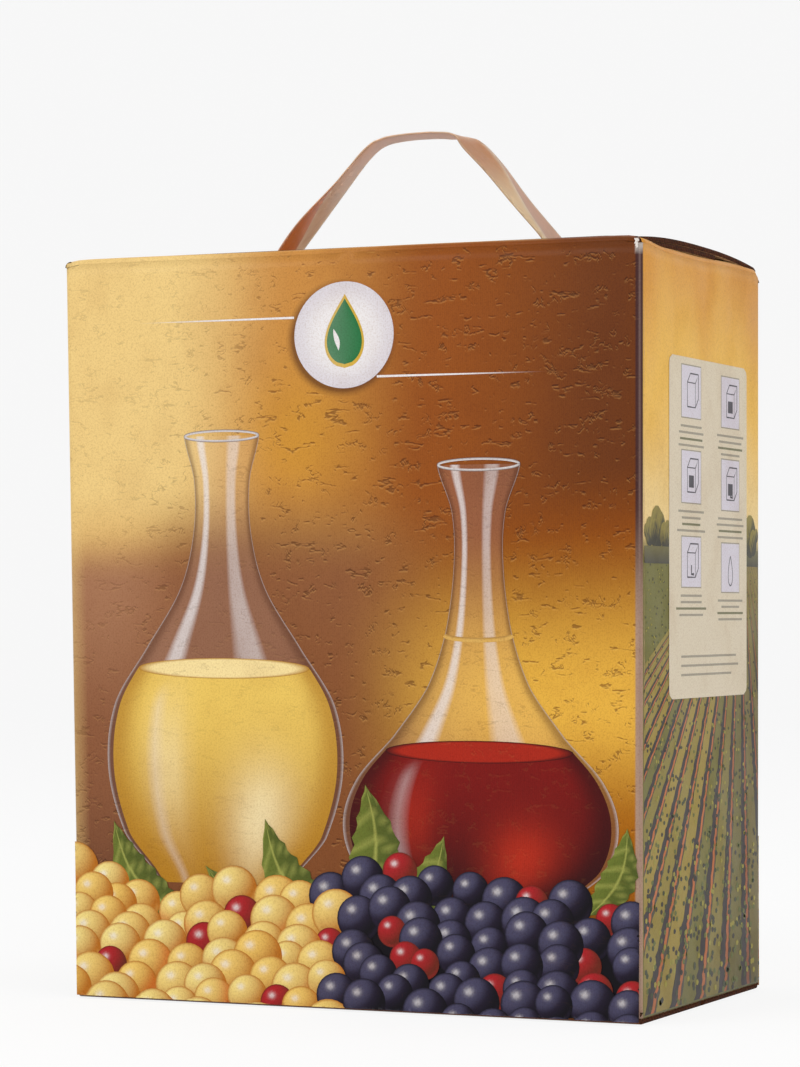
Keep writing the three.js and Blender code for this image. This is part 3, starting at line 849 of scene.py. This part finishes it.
def still_life(front):
    """Two decanters behind fruit and leaves, over the whole foot of the panel."""
    def collar_paint(k, side, a, b):
        return mix(ink(214, 170, 90), BROWN_DARK, 0.5 * (side > 0))

    vessel(front, -45.0, profile_through(JUG), 112.0, PALE_FILL, 2, (189.0, 13.2))
    vessel(front, 46.0, profile_through(DECANTER), 86.0, RED_FILL, 7, (178.0, 14.2))
    turns = steps(pi, 2 * pi, 0.2)
    collar = [(46 + 11.8 * cos(t), 123 + 1.6 * sin(t)) for t in turns]
    front.stroke(collar, lambda k: 1.5, collar_paint, 11)
    chooser = random.Random(11)

    def heap_top(a):
        return 40.0 + 5.0 * sin(a / 23.0 + 0.6) + 3.0 * sin(a / 9.0)

    across = steps(-HALF_WIDTH + 0.7, HALF_WIDTH - 0.7, 3.0)
    rows = [[(a, 1.2 + (heap_top(a) - 6.0) * k) for a in across] for k in steps(0.0, 1.0, 0.1)]
    front.patch(rows, lambda i, j, a, b: mix(PLUM_DARK, BROWN_EDGE, 0.6 * smooth(10, -60, a)), 11.5)
    for start, end, bend, width in (
        ((-2, 30), (-30, 62), 0.18, 9.5), ((3, 30), (6, 74), -0.12, 10.5), ((8, 30), (34, 58), -0.20, 9.5),
        ((-60, 30), (-86, 60), 0.16, 8.5), ((84, 34), (97, 62), -0.14, 7.0),
        ((-12, 22), (-52, 46), 0.12, 8.5),
    ):
        leaf(front, start, end, bend, width, 12)
    places, row_drop, gap = [], 6.9, 12.5
    for row in range(7):
        a = -101.0 + 5.0 * (row % 2)
        while a < 103.0:
            across = a + chooser.uniform(-2, 2)
            places.append((across, heap_top(a) - 2.0 - row_drop * row + chooser.uniform(-2, 2)))
            a += gap * chooser.uniform(0.82, 1.08)
    for k, (a, b) in enumerate(places):
        pale = a < -4 + chooser.uniform(-14, 14)
        red = chooser.random() < (0.10 if pale else 0.15)
        radius = chooser.uniform(6.4, 8.2) * (1.12 if pale else 1.0) * (0.78 if red else 1.0)
        layer = 12.5 + 0.2 * k
        if red:
            fruit(front, (a, b), radius, CHERRY, mix(CHERRY, BROWN_EDGE, 0.85), layer, 0.9)
        elif pale:
            tone = mix(APRICOT, LEMON, chooser.random())
            fruit(front, (a, b), radius, tone, ink(176, 104, 26), layer, 0.8, 0.95,
                  blush=chooser.uniform(-2.6, 0.2) if chooser.random() < 0.45 else None)
        else:
            fruit(front, (a, b), radius, PLUM, PLUM_DARK, layer, 0.75, 1.0, 0.24)


def field(side):
    """Trees along the skyline and planted rows that fan out from a far point."""
    chooser = random.Random(5)
    far = (100.0, 160.0)
    low, high, skyline = 2.6, 118.6, 152.0
    places = steps(-230.0, 330.0, 24.0)
    for start, end in zip(places, places[1:]):
        green = mix(ROW_GREEN, ROW_LIT, chooser.random())
        strips = (
            (0.0, 0.60, green, 1), (0.58, 0.26, ROW_GAP, 1.5), (0.82, 0.14, ROW_EARTH, 2),
            (0.94, 0.07, ROW_SHADE, 2.5),
        )
        for share, width, colour, layer in strips:
            left = start + (end - start) * share
            right = left + (end - start) * width
            rows = []
            for b in steps(low, skyline, 2.0):
                reach = (far[1] - b) / (far[1] - low)
                rough = 0.8 * reach * sin(b * 1.7 + start) + 0.5 * reach * sin(b * 4.1 + start)
                pair = [far[0] + (left - far[0]) * reach + rough, far[0] + (right - far[0]) * reach - rough]
                rows.append([(edge, b) for edge in pair])

            def paint(i, j, a, b, colour=colour):
                shade = mix(colour, ROW_GAP, 0.45 * smooth(60, 121, a) + 0.20 * smooth(30, 0, b))
                return mix(shade, ink(156, 138, 70), 0.60 * smooth(96, skyline, b))
            side.patch(rows, paint, layer)
    for k in range(1500):
        b = 148.0 * chooser.random() ** 0.8
        a = chooser.uniform(4, 117)
        size = 0.35 + 1.15 * (150 - b) / 150
        tone = chooser.choice((ink(150, 140, 52), ink(54, 60, 26), ink(92, 98, 40), ink(44, 38, 28)))
        radius = min(size, a - low, high - a)
        side.disc((a, b), radius, lambda *_, tone=tone: tone, 3, squeeze=0.75, rings=1, spokes=5)
    for k in range(34):
        a = 4.5 + 112.0 * k / 33
        radius = min(chooser.uniform(3.2, 6.6), a - low, high - a)
        b = 155.0 + chooser.uniform(-1.5, 2.6)

        def crown(r, t, x, y):
            leaves = 0.5 * sin(3 * x) * sin(2 * y)
            lit = smooth(-0.6, 1.0, r * sin(t) - 0.5 * r * cos(t) + leaves)
            return mix(ink(48, 46, 30), ink(142, 128, 54), lit)
        side.disc((a, b), max(radius, 0.5), crown, 4.2 + 0.03 * k, squeeze=1.2, rings=4, spokes=14)
    rows = [[(a, b) for a in steps(2.8, high, 4.0)] for b in steps(146.0, 151.5, 1.5)]
    side.patch(rows, lambda i, j, a, b: mix(ink(58, 54, 40), ink(98, 92, 52), i / 3), 5.6)


def notice(side):
    """A beige label with six little drawings of a box and plain grey bars."""
    beige = ink(218, 205, 180)
    grey = ink(158, 150, 132)
    olive = ink(118, 116, 84)
    lilac = ink(214, 208, 218)
    dark = ink(70, 66, 74)
    low, high, corner = (26.3, 102.2), (105.9, 213.8), 3.0
    side.panel(low, high, corner, beige, 6)
    chooser = random.Random(3)

    def outline(points, layer=9, width=0.5):
        side.stroke(points, lambda k: width, lambda *_: dark, layer)

    frames = []
    for left, right, drop in ((38.0, 58.0, 0.0), (78.5, 98.0, 1.5)):
        for top, foot in ((211.5, 193.8), (183.6, 165.9), (155.4, 138.3)):
            top, foot, middle = top - drop, foot - drop, (left + right) / 2
            frames.append((middle, (foot + top) / 2))
            side.bar((left, foot), (right, top), grey, 7)
            side.bar((left + 0.4, foot + 0.4), (right - 0.4, top - 0.4), lilac, 8)
            for line in range(4):
                half = 9.0 + 6.0 * chooser.random()
                b = foot - 2.9 - 2.1 * line
                side.bar((middle - half, b), (middle + half, b + 0.75), olive if line == 2 else grey, 7)
    for k, (a, b) in enumerate(frames):
        if k == 5:
            turns = steps(0.0, 2 * pi, 0.2)
            outline([(a + 3.0 * sin(t) * sin(t / 2), b - 1.0 + 5.0 * cos(t)) for t in turns])
            continue
        outline([(a - 4, b - 5), (a + 4, b - 5), (a + 4, b + 3), (a - 4, b + 3), (a - 4, b - 5)])
        outline([(a - 4, b + 3), (a - 1, b + 6), (a + 7, b + 6), (a + 4, b + 3)])
        outline([(a + 7, b + 6), (a + 7, b - 2), (a + 4, b - 5)])
        if k in (1, 3, 4):
            side.bar((a - 2.5, b - 3.5), (a + 2.5, b + 0.5), dark, 9)
        if k in (2, 4):
            outline([(a, b - 1), (a, b - 4), (a + 2.5, b - 4)], 10, 0.9)
    for up in (115.5, 112.5, 109.5):
        side.bar((38.0, up), (97.0 - chooser.uniform(0, 9), up + 0.75), grey, 7)


def worn_fold(front, side):
    """Torn paper at the near top corner, and rubbed print along the upright folds."""
    chooser = random.Random(8)
    line = [(HALF_WIDTH - 1.4 + chooser.uniform(-0.3, 0.3), z) for z in steps(245.6, 249.0, 0.4)]
    front.stroke(line, lambda k: 0.5 + 1.3 * k + 0.4 * sin(30 * k), lambda *_: ink(228, 222, 216), 2)
    line = [(2.7 + chooser.uniform(-0.2, 0.2), z) for z in steps(100, 238, 1.6)]
    side.stroke(line, lambda k: 0.5 + 0.3 * sin(17 * k),
                lambda k, s, a, b: mix(side_ground(a, b), ink(196, 160, 120), 0.6), 2)


TEAR_SIZE = 72.0                     # the tear-out panel over the tap, in the left side
TEAR_RADIUS = 22.0
TAP_HEIGHT = 46.0


def tear_out(side):
    """The perforated outline of the panel that is torn out for the tap."""
    half, middle = TEAR_SIZE / 2, DEPTH / 2
    straight = half - TEAR_RADIUS
    outline = []
    for turn, (a, b) in enumerate(((1, 1), (-1, 1), (-1, -1), (1, -1))):
        for t in steps(turn * pi / 2, (turn + 1) * pi / 2, pi / 36):
            outline.append((middle + a * straight + TEAR_RADIUS * cos(t),
                            TAP_HEIGHT + b * straight + TEAR_RADIUS * sin(t)))
    outline.append(outline[0])
    line = [outline[0]]
    for (a, b), (c, d) in zip(outline, outline[1:]):
        for k in steps(0.0, 1.0, 0.8 / max(0.8, hypot(c - a, d - b)))[1:]:
            line.append((a + (c - a) * k, b + (d - b) * k))
    # Each dash is a dark line, painted shade in its cut, with a pale painted highlight just below it on the
    # cut's lower lip.
    for start in range(0, len(line) - 6, 8):
        side.stroke(line[start:start + 7], lambda k: 0.5, lambda *_: ink(46, 28, 20), 6)
        side.stroke([(a, b - 0.5) for a, b in line[start:start + 7]], lambda k: 0.3,
                    lambda *_: ink(206, 190, 150), 6.5)


def make_print(materials):
    wide = (-HALF_WIDTH + 0.5, 0.8), (HALF_WIDTH - 0.5, TOP - 1.4)
    narrow = (2.6, 2.4), (DEPTH - 2.4, TOP - 4.0)
    front, rear = Print(on_front, *wide), Print(on_rear, *wide)
    right, left = Print(on_right, *narrow), Print(on_left, *narrow)
    for sheet in (front, rear):
        emblem(sheet)
        still_life(sheet)
    for sheet in (right, left):
        field(sheet)
    notice(right)
    tear_out(left)
    worn_fold(front, right)
    sheets = {"front_print": front, "rear_print": rear, "right_print": right, "left_print": left}
    for name, sheet in sheets.items():
        piece = sheet.make(name, materials)
        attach(piece, "root")


def strap_slit_shade(materials):
    """Painted shade: dark sheets laid on the top where the strap comes up through its slits, standing in for
    the shade in the openings.
    """
    slit_shade = Build()
    for x in SLITS:
        rows = []
        for y in steps(-11.6, 11.6, 0.5):
            half = 0.9 if abs(y) < 10.6 else 0.2
            rows.append([(MIDDLE + x + s * half, y, TOP + bow_at(y) + 0.06) for s in (-1, 0, 1)])
        slit_shade.grid(rows, [[ink(26, 12, 6)] * 3 for _ in rows], flip=True)
    piece = slit_shade.make("strap_slit_shade", materials)
    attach(piece, "root")


# The strap

# The strap's near and far edges from slit to slit, as (across, up).
NEAR_EDGE = (
    (-53.0, 247.0), (-53.0, 250.5), (-42.2, 264.7), (-24.7, 279.9), (-15.0, 289.5), (-12.0, 291.3),
    (-8.7, 292.5), (-2.9, 293.1), (3.7, 293.3), (9.1, 293.2), (15.8, 292.1), (19.9, 287.1), (27.8, 278.9),
    (36.2, 269.0), (51.5, 250.5), (51.5, 247.0),
)
FAR_EDGE = (
    (-53.0, 247.0), (-53.0, 253.0), (-45.2, 263.3), (-32.9, 278.4), (-24.4, 288.3), (-18.1, 292.7),
    (-8.7, 294.1), (2.1, 294.1), (7.0, 293.6), (11.3, 293.4), (14.5, 292.6), (18.2, 290.6), (26.1, 282.5),
    (36.0, 270.2), (51.5, 252.0), (51.5, 247.0),
)
STRAP_WIDTH = 21.0
STRAP_THICKNESS = 0.5


def along(points, share):
    """The place at a share of the line's length, on a curve through the points."""
    lengths = [0.0]
    for (a, b), (c, d) in zip(points, points[1:]):
        lengths.append(lengths[-1] + hypot(c - a, d - b))
    target = share * lengths[-1]
    i = max(k for k in range(len(points) - 1) if lengths[k] <= target + 1e-9)
    k = (target - lengths[i]) / ((lengths[i + 1] - lengths[i]) or 1.0)
    near = [points[min(max(i + d, 0), len(points) - 1)] for d in (-1, 0, 1, 2)]
    return tuple(eased(*(point[c] for point in near), k) for c in (0, 1))


def strap_ink(k, v, crease):
    """Film folded along a crease, lit and shaded in its colour: on the left leg it is a painted-shade orange
    brown in front of the crease and a lit cream behind it; on the right one, in front of the crease, it runs
    from painted shade near the crown to pale kraft tan at the foot; painted highlights run along the crease
    and the edges.
    """
    before = smooth(crease + 0.06, crease - 0.06, v)
    left = mix(ink(250, 220, 188), ink(240, 150, 56), before)
    crown = ink(250, 206, 166)
    kraft = mix(ink(206, 136, 66), ink(240, 210, 162), smooth(0.66, 0.84, k))
    right = mix(ink(218, 166, 128), kraft, before)
    colour = mix(mix(left, crown, smooth(0.22, 0.36, k)), right, smooth(0.58, 0.64, k))
    # A painted highlight along the crease on both legs.
    line = exp(-((v - crease) / 0.05) ** 2) * (smooth(0.30, 0.2, k) + smooth(0.6, 0.66, k))
    colour = mix(colour, ink(250, 236, 210), 0.65 * line)
    # Painted highlights along both edges.
    return (*mix(colour, ink(250, 232, 200), 0.6 * smooth(0.06, 0.0, min(v, 1 - v))), 1.0)


def make_strap(materials):
    strap = Build()
    rows, inks = [], []
    for k in steps(0.0, 1.0, 1 / 96):
        near, far = along(NEAR_EDGE, k), along(FAR_EDGE, k)
        crease = 0.80 - 0.80 * smooth(0.05, 0.36, k) if k < 0.5 else 0.08 + 0.80 * smooth(0.96, 0.64, k)
        row = []
        for j in range(21):
            v = j / 20
            fold = exp(-abs(v - crease) / 0.20)
            lift = 1.5 * fold * smooth(0.0, 0.10, k) * smooth(1.0, 0.90, k) * smooth(0.04, 0.16, abs(k - 0.5))
            across, up = (near[c] + (far[c] - near[c]) * v for c in (0, 1))
            across += lift * (-0.5 if k < 0.5 else 0.5)
            row.append((MIDDLE + across, STRAP_WIDTH * (v - 0.5), up + lift * 0.6))
        rows.append(row)
        inks.append([strap_ink(k, j / 20, crease) for j in range(21)])
    strap.grid(rows, inks, flip=True)
    piece = strap.make("strap_arch", materials)
    thicken(piece, STRAP_THICKNESS, 0.0, 0)
    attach(piece, "root")
    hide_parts("handle_strap")


# Stage, camera and lights

CAMERA_YAW = 23.82                   # degrees to the right of the front's normal
CAMERA_PLACE = (480.4, -1101.7, 130.9)
FOCAL_PIXELS = 3500.0                # in a picture 1067 pixels high
PICTURE_HEIGHT = 1067.0
HORIZON_ROW = 610.6
SENSOR = 36.0


def make_camera():
    data = bpy.data.cameras.new("camera")
    data.sensor_width = SENSOR
    data.lens = FOCAL_PIXELS / PICTURE_HEIGHT * SENSOR
    data.shift_y = (HORIZON_ROW - PICTURE_HEIGHT / 2) / PICTURE_HEIGHT
    data.clip_start = 0.01
    camera = bpy.data.objects.new("camera", data)
    camera.location = tuple(c * MM for c in CAMERA_PLACE)
    camera.rotation_euler = (pi / 2, 0.0, radians(CAMERA_YAW))
    bpy.context.collection.objects.link(camera)
    bpy.context.scene.camera = camera


def add_lamp(name, place, aim, size, watts):
    """A rectangular lamp that faces the aim; places and sizes are in metres."""
    data = bpy.data.lights.new(name, "AREA")
    data.shape = "RECTANGLE"
    data.size, data.size_y = size
    data.energy = watts
    lamp = bpy.data.objects.new(name, data)
    lamp.location = place
    direction = [a - p for a, p in zip(aim, place)]
    flat = hypot(direction[0], direction[1])
    turn = atan2(direction[1], direction[0]) - pi / 2
    lamp.rotation_euler = (atan2(flat, -direction[2]), 0.0, turn)
    bpy.context.collection.objects.link(lamp)


WORLD_LIGHT = 0.55
FLOOR_GLOW = 0.85


def make_lights():
    aim = (0.0, 0.0, 0.13)
    add_lamp("key", (-0.9, -1.5, 1.1), aim, (1.2, 1.2), 13.0)
    add_lamp("fill", (1.5, -0.9, 0.6), aim, (1.0, 1.4), 9.5)
    add_lamp("top", (0.1, 0.2, 1.7), aim, (1.2, 1.2), 6.0)


def make_world():
    """White where it is seen, straight, in gloss or through film; otherwise a plain even light."""
    nodes = Nodes("studio", world=True)
    bpy.context.scene.world = nodes.owner
    strength = nodes.ramp(nodes.seen(), 0.0, 1.0, WORLD_LIGHT, 1.0)
    nodes.fill(nodes.tree.nodes["Background"], {"Color": (1.0, 1.0, 1.0, 1.0), "Strength": strength})


def make_floor():
    """A white floor that turns up into a backdrop far behind."""
    reach, bend, height, half, count = 3.0, 1.2, 5.0, 6.0, 12
    profile = [(-reach, 0.0), (reach, 0.0)]
    for i in range(1, count + 1):
        a = pi / 2 * i / count
        profile.append((reach + bend * sin(a), bend * (1 - cos(a))))
    profile.append((reach + bend, height))
    mesh = bpy.data.meshes.new("floor")
    points = [(side * half, y, z) for y, z in profile for side in (-1, 1)]
    faces = [(2 * i, 2 * i + 1, 2 * i + 3, 2 * i + 2) for i in range(len(profile) - 1)]
    mesh.from_pydata(points, [], faces)
    for polygon in mesh.polygons:
        polygon.use_smooth = True
    floor = bpy.data.objects.new("floor", mesh)
    floor.location.z = -0.0002
    floor.rotation_euler.z = radians(CAMERA_YAW)
    bpy.context.collection.objects.link(floor)
    nodes = Nodes("floor_white")
    white = nodes.add("ShaderNodeEmission")
    nodes.fill(nodes.shader, {"Base Color": (0.90, 0.90, 0.90, 1.0), "Roughness": 0.9})
    blend = nodes.add("ShaderNodeMixShader")
    nodes.join(nodes.math("MULTIPLY", nodes.seen(), FLOOR_GLOW), blend.inputs["Fac"])
    nodes.join(nodes.shader.outputs["BSDF"], blend.inputs[1])
    nodes.join(white.outputs["Emission"], blend.inputs[2])
    nodes.join(blend.outputs["Shader"], nodes.tree.nodes["Material Output"].inputs["Surface"])
    mesh.materials.append(nodes.owner)


make_camera()
printed = printed_board()
inside = raw_board("bare_board", ink(186, 150, 110), ink(150, 114, 78), 3.0)
# The cut edges are kraft brown darkened with painted shade.
rim = raw_board("shaded_cut_edge", ink(92, 48, 24), ink(40, 20, 10))
make_carton([printed, inside, rim])
make_print([printed])
strap_slit_shade([printed])
make_strap([strap_film()])

for node, material in (
    ("wine_bag", barrier_film()),
    ("spout", moulded_plastic("pale_plastic", (0.80, 0.79, 0.75), 0.4)),
    ("tap_spindle", moulded_plastic("spindle_plastic", (0.78, 0.77, 0.74), 0.45)),
    ("tap_seal", moulded_plastic("seal_plastic", (0.76, 0.75, 0.70), 0.5)),
    ("tap_body", moulded_plastic("grey_plastic", (0.28, 0.29, 0.30), 0.4)),
    ("tap_lever", moulded_plastic("red_plastic", (0.42, 0.02, 0.03), 0.35)),
):
    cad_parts[node].data.materials.clear()
    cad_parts[node].data.materials.append(material)

make_lights()
make_world()
make_floor()

scene = bpy.context.scene
scene.view_settings.view_transform = "Standard"
